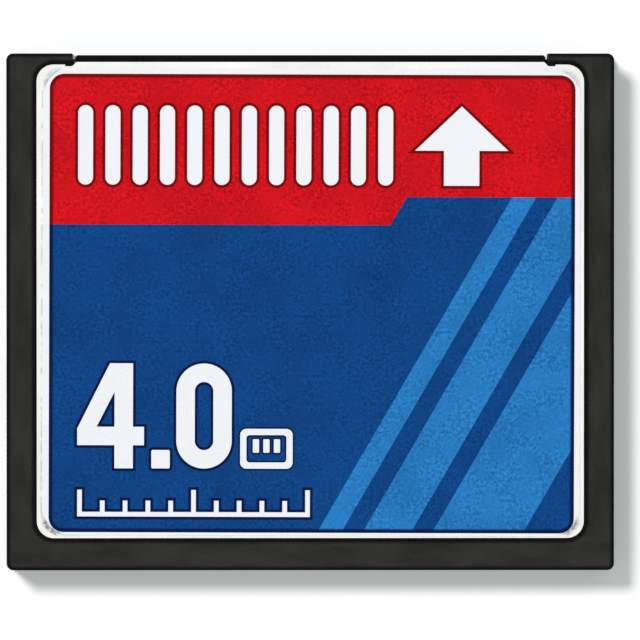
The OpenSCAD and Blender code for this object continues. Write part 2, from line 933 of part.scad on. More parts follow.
module circuit_board() {
    color(board_colour)
        sheet(board_under_z, board_t) difference() {
            translate([0, (board_front_y + board_rear_y) / 2])
                rounded_rect(board_w, board_front_y - board_rear_y, board_r);
            for (side = [-1, 1])
                translate([side * well_w / 2, rib_y])
                    square(2 * [rib_reach + board_gap, rib_w / 2 + board_gap], center = true);
        }
}

// Pad under the foot of a lead that leaves its chip along +X
module lead_pad(width, reach) {
    start = lead_heel(reach) - pad_margin;
    translate([start, -width / 2]) square([reach + pad_margin - start, width]);
}

module fine_lead_pads(count, reach) {
    for (i = [0:count - 1])
        translate([0, row_place(i, count) * lead_pitch])
            lead_pad(lead_w + 2 * fine_pad_side, reach);
}

// Pads under the feet of one row of contacts
module contact_pads() {
    pad_w = contact_t + 2 * contact_pad_side;
    for (i = [0:socket_columns - 1])
        translate([column_x(i) - pad_w / 2, foot_end_y - pad_margin])
            square([pad_w, foot_l + 2 * pad_margin]);
}

module flash_pads() {
    both_ends() translate([flash_l / 2, 0]) fine_lead_pads(flash_lead_count, flash_reach);
}

// Pads under the two ends of a capacitor or resistor
module passive_pads() {
    for (side = [-1, 1])
        translate([side * (passive_l - end_l) / 2, 0])
            square([end_l + 2 * pad_margin, passive_w + 2 * pad_margin], center = true);
}

module crystal_pads() {
    for (x = [-1, 1], y = [-1, 1])
        translate([x * (crystal_l - crystal_pad_l) / 2, y * (crystal_w - crystal_pad_w) / 2])
            square([crystal_pad_l, crystal_pad_w], center = true);
}

module pad_layer() {
    sheet(board_top_z, pad_t) children();
}

module top_solder_pads() {
    color(solder_colour) pad_layer() {
        contact_pads();
        at_controller() four_ways() translate([controller_w / 2, 0])
            fine_lead_pads(controller_lead_count, controller_reach);
        at_upper_flash() flash_pads();
    }
}

module bottom_solder_pads() {
    color(solder_colour) turned_under() pad_layer() {
        contact_pads();
        at_lower_flash() flash_pads();
        at_regulator() regulator_sides()
            lead_pad(regulator_lead_w + 2 * fine_pad_side, regulator_reach);
        at_crystal() crystal_pads();
        in_columns(0, capacitor_columns + resistor_columns) passive_pads();
    }
}

// Places on the board

module at_controller() {
    translate([controller_x, chip_y]) children();
}

module at_upper_flash() {
    translate([flash_x, chip_y]) children();
}

module at_lower_flash() {
    translate([-flash_x, chip_y]) children();
}

module at_regulator() {
    translate([crystal_x, regulator_y]) children();
}

module at_crystal() {
    translate([crystal_x, crystal_y]) children();
}

// Place of item i in a centred row, in steps
function row_place(i, count) = i - (count - 1) / 2;

// Copies of a small part in some columns, counted from the crystal outwards
module in_columns(first, count) {
    for (column = [first:first + count - 1], row = [0:part_rows - 1])
        translate([
            first_column_x + column * (passive_l + part_gap),
            chip_y + row_place(row, part_rows) * (passive_w + row_gap)
        ])
            children();
}

// Copies turned to all four sides
module four_ways() {
    for (turn = [0:90:270]) rotate(turn) children();
}

// Copies turned to the front and rear ends
module both_ends() {
    for (turn = [90, 270]) rotate(turn) children();
}

// Two leads at the front and three at the rear of the regulator
module regulator_sides() {
    for (i = [-1, 1]) translate([i * regulator_pitch, regulator_w / 2]) rotate(90) children();
    for (i = [-1:1]) translate([i * regulator_pitch, -regulator_w / 2]) rotate(-90) children();
}

// Chips

// Section of a moulded chip: widest at the parting line, halfway up
module draft_section(w, h) {
    in = h / 2 * tan(chip_draft);
    polygon([
        [-w / 2 + in, 0],
        [w / 2 - in, 0],
        [w / 2, h / 2],
        [w / 2 - in, h],
        [-w / 2 + in, h],
        [-w / 2, h / 2]
    ]);
}

module chip_body(w, l, h) {
    intersection() {
        along_y(l + past) draft_section(w, h);
        along_x(w + past) draft_section(l, h);
    }
}

// Chip body that stands over the board, with a dimple near its first lead
module marked_chip(w, l) {
    translate([0, 0, chip_z]) difference() {
        chip_body(w, l, chip_h);
        translate([dimple_from_side - w / 2, l / 2 - dimple_from_side, chip_h - dimple_depth])
            cylinder(d = dimple_w, h = past, $fn = 12);
    }
}

// Distance from a chip to the start of its leads' feet
function lead_heel(reach) = 0.42 * reach;

// One bent lead that leaves a body of the given height along +X and stands on a pad
module bent_lead(width, reach, body_h) {
    root_z = chip_standoff + body_h / 2 - pad_t;
    shoulder = 0.18 * reach;
    heel = lead_heel(reach);
    across = 0.1 * reach; // the slope's upper side lies this far outside its lower side
    along_y(width)
        polygon([
            [0, root_z + lead_t / 2],
            [shoulder + across, root_z + lead_t / 2],
            [heel + across, lead_t],
            [reach, lead_t],
            [reach, 0],
            [heel, 0],
            [shoulder, root_z - lead_t / 2],
            [0, root_z - lead_t / 2]
        ]);
}

// Leads that fit a side of the given length, less a margin at its two ends
function leads_on(side_l, margin) = floor((side_l - 2 * margin) / lead_pitch) + 1;

module lead_row(count, reach) {
    for (i = [0:count - 1])
        translate([0, row_place(i, count) * lead_pitch, pad_top_z]) bent_lead(lead_w, reach, chip_h);
}

module flash_leads() {
    both_ends() translate([flash_l / 2, 0]) lead_row(flash_lead_count, flash_reach);
}

module controller_chip() {
    color(chip_colour) at_controller() marked_chip(controller_w, controller_w);
}

module controller_leads() {
    color(solder_colour) at_controller() four_ways()
        translate([controller_w / 2, 0]) lead_row(controller_lead_count, controller_reach);
}

module upper_flash_chip() {
    color(chip_colour) at_upper_flash() marked_chip(flash_w, flash_l);
}

module upper_flash_leads() {
    color(solder_colour) at_upper_flash() flash_leads();
}

module lower_flash_chip() {
    color(chip_colour) turned_under() at_lower_flash() marked_chip(flash_w, flash_l);
}

module lower_flash_leads() {
    color(solder_colour) turned_under() at_lower_flash() flash_leads();
}

// Small parts under the board

module voltage_regulator() {
    color(chip_colour) turned_under() at_regulator()
        translate([0, 0, chip_z]) chip_body(regulator_l, regulator_w, regulator_h);
}

module regulator_leads() {
    color(solder_colour) turned_under() at_regulator() regulator_sides()
        translate([0, 0, pad_top_z]) bent_lead(regulator_lead_w, regulator_reach, regulator_h);
}

module crystal_base() {
    color(ceramic_colour) turned_under() at_crystal()
        sheet(pad_top_z, crystal_base_h) rounded_rect(crystal_l, crystal_w, crystal_r);
}

module crystal_lid() {
    color(crystal_colour) turned_under() at_crystal()
        translate([0, 0, pad_top_z + crystal_base_h])
            rounded_block(
                crystal_l - 2 * crystal_rim,
                crystal_w - 2 * crystal_rim,
                crystal_lid_h,
                crystal_r,
                crystal_lid_h / 4);
}

// Body between the two metal ends
module passive_body(h) {
    translate([0, 0, pad_top_z + end_skin + h / 2])
        cube([passive_l - 2 * end_l, passive_w, h], center = true);
}

// Metal ends, a little thicker than the body
module passive_ends(h) {
    for (side = [-1, 1])
        translate([side * (passive_l - end_l) / 2, 0, pad_top_z + end_skin + h / 2])
            cube([end_l, passive_w + 2 * end_skin, h + 2 * end_skin], center = true);
}

module capacitors() {
    color(ceramic_colour) turned_under() in_columns(0, capacitor_columns) passive_body(capacitor_h);
}

module capacitor_ends() {
    color(solder_colour) turned_under() in_columns(0, capacitor_columns) passive_ends(capacitor_h);
}

module resistors() {
    color(resistor_colour) turned_under()
        in_columns(capacitor_columns, resistor_columns) passive_body(resistor_h);
}

module resistor_ends() {
    color(solder_colour) turned_under()
        in_columns(capacitor_columns, resistor_columns) passive_ends(resistor_h);
}

frame();
top_cover();
bottom_cover();
top_cover_adhesive();
bottom_cover_adhesive();
top_insulator();
bottom_insulator();
label_film();
red_print();
light_blue_print();
dark_blue_print();
connector_housing();
upper_contacts();
lower_contacts();
circuit_board();
top_solder_pads();
bottom_solder_pads();
controller_chip();
controller_leads();
upper_flash_chip();
upper_flash_leads();
lower_flash_chip();
lower_flash_leads();
voltage_regulator();
regulator_leads();
crystal_base();
crystal_lid();
capacitors();
capacitor_ends();
resistors();
resistor_ends();
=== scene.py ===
import math

import bpy
from mathutils import Euler, Matrix, Vector


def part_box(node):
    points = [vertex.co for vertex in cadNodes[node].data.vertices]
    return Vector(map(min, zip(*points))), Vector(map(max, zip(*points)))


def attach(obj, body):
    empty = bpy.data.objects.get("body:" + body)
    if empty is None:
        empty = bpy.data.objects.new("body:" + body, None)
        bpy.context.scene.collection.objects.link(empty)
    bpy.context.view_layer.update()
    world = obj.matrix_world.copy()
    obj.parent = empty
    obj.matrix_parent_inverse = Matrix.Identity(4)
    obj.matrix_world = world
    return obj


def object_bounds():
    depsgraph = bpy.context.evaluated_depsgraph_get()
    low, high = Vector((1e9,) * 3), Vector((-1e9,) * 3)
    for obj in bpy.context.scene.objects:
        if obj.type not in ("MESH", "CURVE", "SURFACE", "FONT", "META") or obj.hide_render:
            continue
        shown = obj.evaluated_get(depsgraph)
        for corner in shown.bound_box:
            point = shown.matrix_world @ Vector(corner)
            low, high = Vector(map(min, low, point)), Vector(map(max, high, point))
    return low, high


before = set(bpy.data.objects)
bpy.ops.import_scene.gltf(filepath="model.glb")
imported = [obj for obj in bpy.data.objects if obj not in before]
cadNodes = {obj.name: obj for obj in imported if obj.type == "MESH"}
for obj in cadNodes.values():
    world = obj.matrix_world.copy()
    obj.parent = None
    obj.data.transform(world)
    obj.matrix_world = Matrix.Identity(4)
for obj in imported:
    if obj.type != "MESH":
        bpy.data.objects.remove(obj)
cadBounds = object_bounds()
mm = 0.001
print("stage: the packed card is loaded,", len(cadNodes), "pieces")


# Shader work

class Wire:
    # One output socket. Sums on it add Math nodes, so a mask reads as plain arithmetic.
    def __init__(self, work, socket):
        self.work = work
        self.socket = socket

    def __add__(self, other): return self.work.math("ADD", self, other)

    def __radd__(self, other): return self.work.math("ADD", other, self)

    def __sub__(self, other): return self.work.math("SUBTRACT", self, other)

    def __rsub__(self, other): return self.work.math("SUBTRACT", other, self)

    def __mul__(self, other): return self.work.math("MULTIPLY", self, other)

    def __rmul__(self, other): return self.work.math("MULTIPLY", other, self)

    def __gt__(self, other): return self.work.math("GREATER_THAN", self, other)

    def __lt__(self, other): return self.work.math("LESS_THAN", self, other)


class NodeWork:
    # Adds nodes to one material or to the world.
    def __init__(self, owner):
        owner.use_nodes = True
        self.tree = owner.node_tree
        self.tree.nodes.clear()

    def node(self, kind, settings=None, sockets=None, output=0):
        made = self.tree.nodes.new("ShaderNode" + kind)
        for name, value in (settings or {}).items():
            if name == "stops":
                self.setStops(made.color_ramp, value)
            else:
                setattr(made, name, value)
        for key, value in (sockets or {}).items():
            if isinstance(value, Wire):
                self.tree.links.new(value.socket, made.inputs[key])
            elif made.inputs[key].type == "RGBA":
                made.inputs[key].default_value = (*value[:3], 1)
            else:
                made.inputs[key].default_value = value
        return Wire(self, made.outputs[output]) if made.outputs else made

    def setStops(self, ramp, stops):
        for extra in range(len(stops) - len(ramp.elements)):
            ramp.elements.new(0.5)
        for element, (place, colour) in zip(ramp.elements, stops):
            element.position = place
            element.color = (*colour, 1)

    def math(self, operation, *values):
        return self.node("Math", {"operation": operation}, dict(enumerate(values)))

    def blend(self, mask, first, second, kind="MIX"):
        settings = {"data_type": "RGBA", "blend_type": kind, "clamp_factor": True}
        return self.node("Mix", settings, {0: mask, 6: first, 7: second}, 2)

    def place(self, stretch=(1, 1, 1)):
        # The point on the card in metres, stretched for grain that runs one way
        point = self.node("TexCoord", output="Object")
        return self.node("VectorMath", {"operation": "MULTIPLY"}, {0: point, 1: stretch})

    def noise(self, size, detail=2, stretch=(1, 1, 1), roughness=0.5):
        # Cloudy grain from 0 to 1; size is the width of one cloud in metres
        sockets = {"Vector": self.place(stretch), "Scale": 1 / size, "Detail": detail, "Roughness": roughness}
        return self.node("TexNoise", {}, sockets)

    def axis(self, name):
        return self.node("SeparateXYZ", {}, {"Vector": self.place()}, name)

    def step(self, value, start, end):
        # Smooth step from 0 at start to 1 at end
        sockets = {"Value": value, "From Min": start, "From Max": end}
        return self.node("MapRange", {"interpolation_type": "SMOOTHSTEP"}, sockets)

    def bump(self, height, depth):
        return self.node("Bump", {}, {"Height": height, "Strength": 1, "Distance": depth})

    def vector(self, operation, first, second=(0, 0, 0), output="Vector"):
        return self.node("VectorMath", {"operation": operation}, {0: first, 1: second}, output)

    def past(self, outline):
        # Distance in metres from a rounded rectangle seen in plan: 0 on its outline, below 0 inside
        about = (*outline["about"], 0)
        turned = self.node("VectorRotate", {"rotation_type": "Z_AXIS"},
                           {"Vector": self.place(), "Center": about, "Angle": -outline["turn"]})
        flat = self.vector("MULTIPLY", turned, (1, 1, 0))
        folded = self.vector("ABSOLUTE", self.vector("SUBTRACT", flat, (*outline["middle"], 0)))
        straight = [half - outline["corner"] for half in outline["half"]]
        corner = self.vector("MAXIMUM", self.vector("SUBTRACT", folded, (*straight, 0)))
        return self.vector("LENGTH", corner, output="Value") - outline["corner"]


def linear(*screen):
    # Colour as written for a screen, 0 to 255, turned into light
    shares = [value / 255 for value in screen]
    return tuple(s / 12.92 if s <= 0.04045 else ((s + 0.055) / 1.055) ** 2.4 for s in shares)


def lift(colour, share):
    return tuple(min(1, part * (1 + share)) for part in colour)


def newFinish(name, build):
    material = bpy.data.materials.new(name)
    work = NodeWork(material)
    shader = work.node("BsdfPrincipled", {}, build(work))
    work.node("OutputMaterial", {}, {"Surface": shader})
    return material


def dress(material, *names):
    for name in names:
        slots = cadNodes[name].data.materials
        slots.clear()
        slots.append(material)


# Outlines in plan, each with the point that it is turned about

frameOutline = {
    "middle": (0, 0),
    "half": (21.4 * mm, 18.2 * mm),
    "corner": 0.5 * mm,
    "about": (0, 0),
    "turn": 0,
}
pocketOutline = {
    "middle": (0, 0.745 * mm),
    "half": (19.35 * mm, 16.755 * mm),
    "corner": 1.28 * mm,
    "about": (0, 0),
    "turn": 0,
}
filmOutline = {
    "middle": (0.06 * mm, 0.695 * mm),
    "half": (18.92 * mm, 16.445 * mm),
    "corner": 1.8 * mm,
    "about": (0.06 * mm, 0.695 * mm),
    "turn": math.radians(-0.2),      # the label isn't stuck on quite straight
}
printOutline = {
    "middle": (0.11 * mm, 0.585 * mm),
    "half": (18.5 * mm, 16.135 * mm),
    "corner": 1.05 * mm,
    "about": filmOutline["about"],
    "turn": filmOutline["turn"],
}
cardMiddleHeight = (cadBounds[0][2] + cadBounds[1][2]) / 2


# Frame

framePlastic = {
    "colour": linear(41, 41, 40),
    "variation": 0.44,       # light and dark patches in the moulding
    "patch": 1.2 * mm,
    "flow": 3.2,             # how much longer the patches are along each bar than across it
    "rearBar": (-15.4 * mm, -16.2 * mm),   # where the rails pass into the rear bar
    "roughness": 0.5,
    "specular": 0.06,
    "grain": 0.11 * mm,      # spark-eroded texture of the mould
    "grainShare": 0.45,      # how much of the variation is that grain
    "grainDepth": 0.012 * mm,
    "shade": 0.97,           # painted shade: a darker line along the edges and the covers' pocket, also polished a little smoother
    "shadeWidth": 0.4 * mm,
}


def buildFramePlastic(work):
    values = framePlastic
    wide = values["shadeWidth"]
    bar = work.step(work.axis("Y"), *values["rearBar"])
    rail = work.noise(values["patch"], 4, (1, 1 / values["flow"], 1), 0.6)
    rear = work.noise(values["patch"], 4, (1 / values["flow"], 1, 1), 0.6)
    patches = work.step(rail * (1 - bar) + rear * bar, 0.3, 0.7)
    grain = work.noise(values["grain"], 2, roughness=0.65)
    outer = work.step(work.past(frameOutline), -wide, -0.25 * wide)
    inner = 1 - work.step(work.past(pocketOutline), 0.25 * wide, wide)
    fromMiddle = work.math("ABSOLUTE", work.axis("Z") - cardMiddleHeight)
    face = work.step(fromMiddle, cardMiddleHeight - 0.35 * wide, cardMiddleHeight - 0.1 * wide)
    # painted shade: darkens the top and bottom faces along the frame's outer edge and the covers' pocket
    edge = work.math("MAXIMUM", outer, inner) * face
    dark = lift(values["colour"], -values["variation"])
    pale = lift(values["colour"], values["variation"])
    coarse = work.step(grain, 0.3, 0.7)
    mottled = work.blend(patches * (1 - values["grainShare"]) + coarse * values["grainShare"], dark, pale)
    return {
        "Base Color": work.blend(edge * values["shade"], mottled, lift(values["colour"], -0.98)),
        "Roughness": values["roughness"] + (grain - 0.5) * 0.25 - edge * 0.12,
        "Specular IOR Level": values["specular"],
        "Normal": work.bump(grain, values["grainDepth"]),
    }


dress(newFinish("framePlastic", buildFramePlastic), "frame")


# Steel covers

coverSteel = {
    "colour": (0.855, 0.855, 0.825),
    "underside": (0.6, 0.6, 0.58),   # the bare cover that lies on tables, duller from handling
    "contrast": 0.07,
    "undersideContrast": 0.12,
    "roughness": 0.24,
    "streakWidth": 0.05 * mm,    # rolling marks, along the card
    "streakLength": 3.5 * mm,
    "streakDepth": 0.0006 * mm,
    "cloud": 6 * mm,
    "labelEdgeShade": 0.6,                 # painted shade of the label's edge: a grey line on the steel along its left edge, broken into blotches
    "labelEdgeShadeElsewhere": 0.2,        # how much of that its other edges have
    "labelEdgeShadeWidth": 0.22 * mm,
}
cornerLabelShade = {                   # more of that painted shade, on both sides of the label's edge at its four corners
    "strength": 0.93,            # at the rear left corner
    "frontShare": 0.65,          # how much of that the front corners and the right ones have
    "rightShare": 0.82,
    "length": (0.7 * mm, 1.4 * mm),      # where it starts to fade and is gone, from the middle of the corner
    "inside": (-0.2 * mm, -0.03 * mm),   # the same on the label and on the steel, from the label's edge
    "outside": (0.14 * mm, 0.38 * mm),
    "blotch": 0.26 * mm,
}


def steelTone(work, colour, contrast):
    # Rolled steel: its colour, the rolling marks and the slow change of tone over the sheet
    values = coverSteel
    stretch = (1, values["streakWidth"] / values["streakLength"], 1)
    streaks = work.noise(values["streakWidth"], 3, stretch, 0.6)
    cloud = work.noise(values["cloud"], 3)
    tone = work.step(streaks * 0.6 + cloud * 0.4, 0.3, 0.7)
    return work.blend(tone, lift(colour, -contrast), lift(colour, contrast)), streaks, cloud


# Painted shade: darker streaks across the label's edge at its four corners, on the steel and on the label
def cornerStreak(work):
    values = cornerLabelShade
    alongX, alongY = [work.math("ABSOLUTE", work.axis(name) - middle) - half
                      for name, middle, half in zip("XY", filmOutline["middle"], filmOutline["half"])]
    corner = 1 - work.step(work.math("ABSOLUTE", alongX - alongY), *values["length"])
    fromFilm = work.past(filmOutline)
    edge = work.step(fromFilm, *values["inside"]) * (1 - work.step(fromFilm, *values["outside"]))
    rear = 1 - work.step(work.axis("Y"), -8 * mm, 8 * mm) * (1 - values["frontShare"])
    left = 1 - work.step(work.axis("X"), -8 * mm, 8 * mm) * (1 - values["rightShare"])
    blotches = 0.6 + work.step(work.noise(values["blotch"], 2), 0.36, 0.6) * 0.4
    return corner * edge * rear * left * blotches * values["strength"]


def buildTopSteel(work):
    values = coverSteel
    bright, streaks, cloud = steelTone(work, values["colour"], values["contrast"])
    fromFilm = work.past(filmOutline)
    # painted shade: a grey line on the steel along the label's edge, strongest on its left, broken into blotches and
    # rougher there
    line = 1 - work.step(fromFilm, 0.2 * values["labelEdgeShadeWidth"], values["labelEdgeShadeWidth"])
    left = 1 - work.step(work.axis("X"), -18 * mm, -16 * mm) * (1 - values["labelEdgeShadeElsewhere"])
    labelEdgeShade = line * left * work.step(work.noise(0.7 * mm, 3), 0.36, 0.56) * values["labelEdgeShade"]
    labelEdgeShade = work.math("MAXIMUM", labelEdgeShade, cornerStreak(work))
    return {
        "Base Color": work.blend(labelEdgeShade, bright, lift(values["colour"], -0.82)),
        "Metallic": 1,
        "Roughness": values["roughness"] + (streaks - 0.5) * 0.16 + (cloud - 0.5) * 0.08 + labelEdgeShade * 0.5,
        "Normal": work.bump(streaks, values["streakDepth"]),
    }


def buildBottomSteel(work):
    values = coverSteel
    steel, streaks, cloud = steelTone(work, values["underside"], values["undersideContrast"])
    scratches = scratchLines(work, 2.4 * mm, 25) + scratchLines(work, 3.1 * mm, -50)
    smudge = work.step(work.noise(9 * mm, 3, roughness=0.6), 0.5, 0.68)
    dulled = work.blend(smudge * 0.3, steel, lift(values["underside"], -0.25))
    return {
        "Base Color": work.blend(scratches * 0.22, dulled, lift(values["underside"], 0.3)),
        "Metallic": 1,
        "Roughness": values["roughness"] + (streaks - 0.5) * 0.2 + (cloud - 0.5) * 0.1 + smudge * 0.16,
        "Normal": work.bump(streaks + scratches * 0.8, values["streakDepth"]),
    }


def scratchLines(work, spacing, degrees):
    # Fine scratches at a slant, broken into short lengths
    turned = work.node("VectorRotate", {"rotation_type": "Z_AXIS"},
                       {"Vector": work.place(), "Angle": math.radians(degrees)})
    along = work.vector("MULTIPLY", turned, (1, 0.06, 0))
    cells = work.node("TexVoronoi", {"feature": "DISTANCE_TO_EDGE"}, {"Vector": along, "Scale": 1 / spacing})
    broken = work.step(work.noise(2.2 * mm, 3), 0.5, 0.6)
    return (1 - work.step(cells, 0.001, 0.006)) * broken


dress(newFinish("topSteel", buildTopSteel), "top_cover")
dress(newFinish("bottomSteel", buildBottomSteel), "bottom_cover")
print("stage: frame and covers are finished")


# Label

labelFilm = {
    "colour": linear(240, 244, 248),
    "roughness": 0.38,
    "specular": 0.3,
    "fibre": 0.25 * mm,
    "fibreDepth": 0.0015 * mm,
}


def buildLabelFilm(work):
    values = labelFilm
    fibre = work.noise(values["fibre"], 4)
    paper = work.blend(fibre, lift(values["colour"], -0.03), lift(values["colour"], 0.02))
    return {
        # painted shade at the label's corners darkens the film here
        "Base Color": work.blend(cornerStreak(work), paper, lift(values["colour"], -0.82)),
        "Roughness": values["roughness"] + (fibre - 0.5) * 0.12,
        "Specular IOR Level": values["specular"],
        "Normal": work.bump(fibre, values["fibreDepth"]),
    }


inks = {                      # each printed area with the ink of its keyline
    "red_print": (linear(203, 17, 27), "red"),
    "light_blue_print": (linear(38, 119, 187), "blue"),
    "dark_blue_print": (linear(10, 65, 128), "blue"),
}
keylineInks = {"blue": linear(3, 20, 68), "red": linear(116, 3, 6)}
whiteInk = linear(240, 243, 246)
inkFilm = {
    "mottle": 0.22 * mm,      # fine unevenness of the ink
    "clusters": 1.4 * mm,     # groups in which that unevenness is stronger
    "cloud": 4 * mm,          # slow change of tone over the label
    "contrast": 0.3,
    "roughness": 0.36,
    "specular": 0.05,
    "depth": 0.0012 * mm,
    "keyline": 0.36 * mm,     # width of the dark line along the edge of the print, with its soft inner side
}


def buildInk(colour, contrast, keyline=None):
    def build(work):
        values = inkFilm
        mottle = work.noise(values["mottle"], 3, roughness=0.6)
        cloud = work.noise(values["cloud"], 2)
        uneven = 0.45 + work.step(work.noise(values["clusters"], 2), 0.4, 0.6)
        tone = 0.5 + (mottle - 0.5) * uneven * 0.85 + (cloud - 0.5) * 0.3
        mottled = work.blend(work.step(tone, 0.3, 0.7), lift(colour, -contrast), lift(colour, contrast))
        if keyline:
            edge = work.step(work.past(printOutline), -values["keyline"], -0.45 * values["keyline"])
            mottled = work.blend(edge, mottled, keyline)
        return {
            "Base Color": mottled,
            "Roughness": values["roughness"] + (mottle - 0.5) * 0.15,
            "Specular IOR Level": values["specular"],
            "Normal": work.bump(mottle, values["depth"]),
        }
    return build


dress(newFinish("labelFilm", buildLabelFilm), "label_film")
for name, (colour, keyline) in inks.items():
    build = buildInk(colour, inkFilm["contrast"], keylineInks[keyline])
    dress(newFinish(name.replace("_print", "Ink"), build), name)
print("stage: label film and inks are finished")


# Fine print: the white number and card sign, and a dark keyline round every white mark

finePrint = {
    "fromLeft": 2,            # all in millimetres, from the corner of the print that is rear left
    "digitHeight": 7.4,
    "stroke": 1.3,
    "noughtWidth": 3.9,
    "numberFromRear": 4.5,
    "signWidth": 3.7,
    "signGap": 0.6,
    "bars": 12,
    "barPitch": 1.92,
    "barWidth": 1.06,
    "headerLong": 5.6,
    "headerFromFront": 2.2,
    "arrowWidth": 6.6,
    "arrowFromRight": 8,
    "scaleLong": 16.4,
    "scaleParts": 10,
    "scaleHigh": 1.9,
    "scaleStroke": 0.34,
    "scaleFromRear": 1.1,
    "whiteThickness": 0.012,
    "keyline": 0.19,
    "signKeyline": 0.12,
    "keylineThickness": 0.005,
    "cornerSteps": 14,        # points on a quarter turn of a rounded corner
}
printWide, printLong = [2 * half / mm for half in printOutline["half"]]


def roundedOutline(left, low, wide, high, radius):
    steps = finePrint["cornerSteps"]
    middles = [(left + wide - radius, low + high - radius), (left + radius, low + high - radius),
               (left + radius, low + radius), (left + wide - radius, low + radius)]
    points = []
    for quarter, (x, y) in enumerate(middles):
        for step in range(steps + 1):
            angle = (quarter + step / steps) * math.pi / 2
            points.append((x + radius * math.cos(angle), y + radius * math.sin(angle)))
    return points


def shifted(outline, alongX, alongY):
    return [(x + alongX, y + alongY) for x, y in outline]


def grown(outline, distance):
    # The outline pushed outwards, or inwards where the distance is below 0, with mitred corners
    points = [Vector(point) for point in outline]
    pushed = []
    for index, point in enumerate(points):
        normals = []
        for first, second in ((points[index - 1], point), (point, points[(index + 1) % len(points)])):
            way = (second - first).normalized()
            normals.append(Vector((way.y, -way.x)))
        pushed.append(tuple(point + (normals[0] + normals[1]) * (distance / (1 + normals[0].dot(normals[1])))))
    return pushed


def numberMarks():
    # Outer outlines and holes; the lower left corner of the first digit comes first
    high = finePrint["digitHeight"]
    stroke = finePrint["stroke"]
    wide = finePrint["noughtWidth"]
    stemRight = 0.53 * high
    stemLeft = stemRight - stroke
    barLow = 0.22 * high
    four = [(0, barLow), (stemLeft, barLow), (stemLeft, 0), (stemRight, 0), (stemRight, barLow),
            (stemRight + 0.6 * stroke, barLow), (stemRight + 0.6 * stroke, barLow + stroke),
            (stemRight, barLow + stroke), (stemRight, high), (stemLeft - 0.25 * stroke, high),
            (0, barLow + 0.9 * stroke)]
    fourHole = [(1.05 * stroke, barLow + stroke), (stemLeft, barLow + stroke), (stemLeft, high - 1.55 * stroke)]
    point = roundedOutline(stemRight + stroke, 0, stroke, stroke, 0.08 * stroke)
    left = stemRight + 2.35 * stroke
    nought = roundedOutline(left, 0, wide, high, wide / 2)
    noughtHole = roundedOutline(left + stroke, stroke, wide - 2 * stroke, high - 2 * stroke, wide / 2 - stroke)
    place = (finePrint["fromLeft"], finePrint["numberFromRear"])
    return [shifted(outline, *place) for outline in (four, point, nought)], \
        [shifted(outline, *place) for outline in (fourHole, noughtHole)]


def signMarks():
    wide = finePrint["signWidth"]
    high = 0.76 * wide
    line = 0.12 * wide
    left = finePrint["fromLeft"] + 0.53 * finePrint["digitHeight"] + 2.35 * finePrint["stroke"]
    left += finePrint["noughtWidth"] + finePrint["signGap"]
    low = finePrint["numberFromRear"]
    outlines = [roundedOutline(left, low, wide, high, line)]
    for place in (-1, 0, 1):
        barLeft = left + wide / 2 + place * 0.2 * wide - line / 2
        outlines.append(roundedOutline(barLeft, low + 0.4 * high, line, 0.34 * high, 0.02 * wide))
    return outlines, [roundedOutline(left + line, low + line, wide - 2 * line, high - 2 * line, line / 2)]


def headerMarks():
    # The comb and the arrow, which the red ink leaves white
    wide = finePrint["barWidth"]
    high = finePrint["headerLong"]
    top = printLong - finePrint["headerFromFront"]
    outlines = [roundedOutline(finePrint["fromLeft"] + index * finePrint["barPitch"], top - high, wide, high, wide / 2)
                for index in range(finePrint["bars"])]
    head = finePrint["arrowWidth"] / 2
    stem = finePrint["arrowWidth"] * 0.19
    shoulder = -0.56 * high
    arrow = [(0, 0), (-head, shoulder), (-stem, shoulder), (-stem, -high), (stem, -high), (stem, shoulder),
             (head, shoulder)]
    return outlines + [shifted(arrow, printWide - finePrint["arrowFromRight"], top)], []


def scaleMarks():
    # The ruled scale, which the dark blue ink leaves white
    line = finePrint["scaleStroke"]
    parts = finePrint["scaleParts"]
    points = [(0, 0), (finePrint["scaleLong"], 0)]
    for index in range(parts, -1, -1):
        left = index * (finePrint["scaleLong"] - line) / parts
        high = finePrint["scaleHigh"] * (1 if index % 5 == 0 else 0.6)
        points += [(left + line, line), (left + line, high), (left, high), (left, line)]
    points = [point for index, point in enumerate(points) if index not in (2, len(points) - 1)]
    return [shifted(points, finePrint["fromLeft"], finePrint["scaleFromRear"])], []


def printPiece(name, outlines, thickness, material):
    # Flat piece of ink on top of the printed areas; an outline inside another is a hole
    curve = bpy.data.curves.new(name, "CURVE")
    curve.dimensions = "2D"
    curve.fill_mode = "BOTH"
    curve.extrude = thickness * mm / 2
    about = Vector(printOutline["about"])
    corner = Vector(printOutline["middle"]) - Vector(printOutline["half"]) - about
    turn = Matrix.Rotation(printOutline["turn"], 2)
    for outline in outlines:
        spline = curve.splines.new("POLY")
        spline.points.add(len(outline) - 1)
        spline.use_cyclic_u = True
        for spot, point in zip(spline.points, outline):
            spot.co = (*(about + turn @ (corner + Vector(point) * mm)), 0, 1)
    piece = bpy.data.objects.new(name, curve)
    piece.location.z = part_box("dark_blue_print")[1][2] + curve.extrude
    bpy.context.collection.objects.link(piece)
    curve.materials.append(material)
    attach(piece, "root")


def ringed(marks, wide=finePrint["keyline"]):
    outer, holes = marks
    return outer + holes + [grown(outline, wide) for outline in outer] + [grown(hole, -wide) for hole in holes]


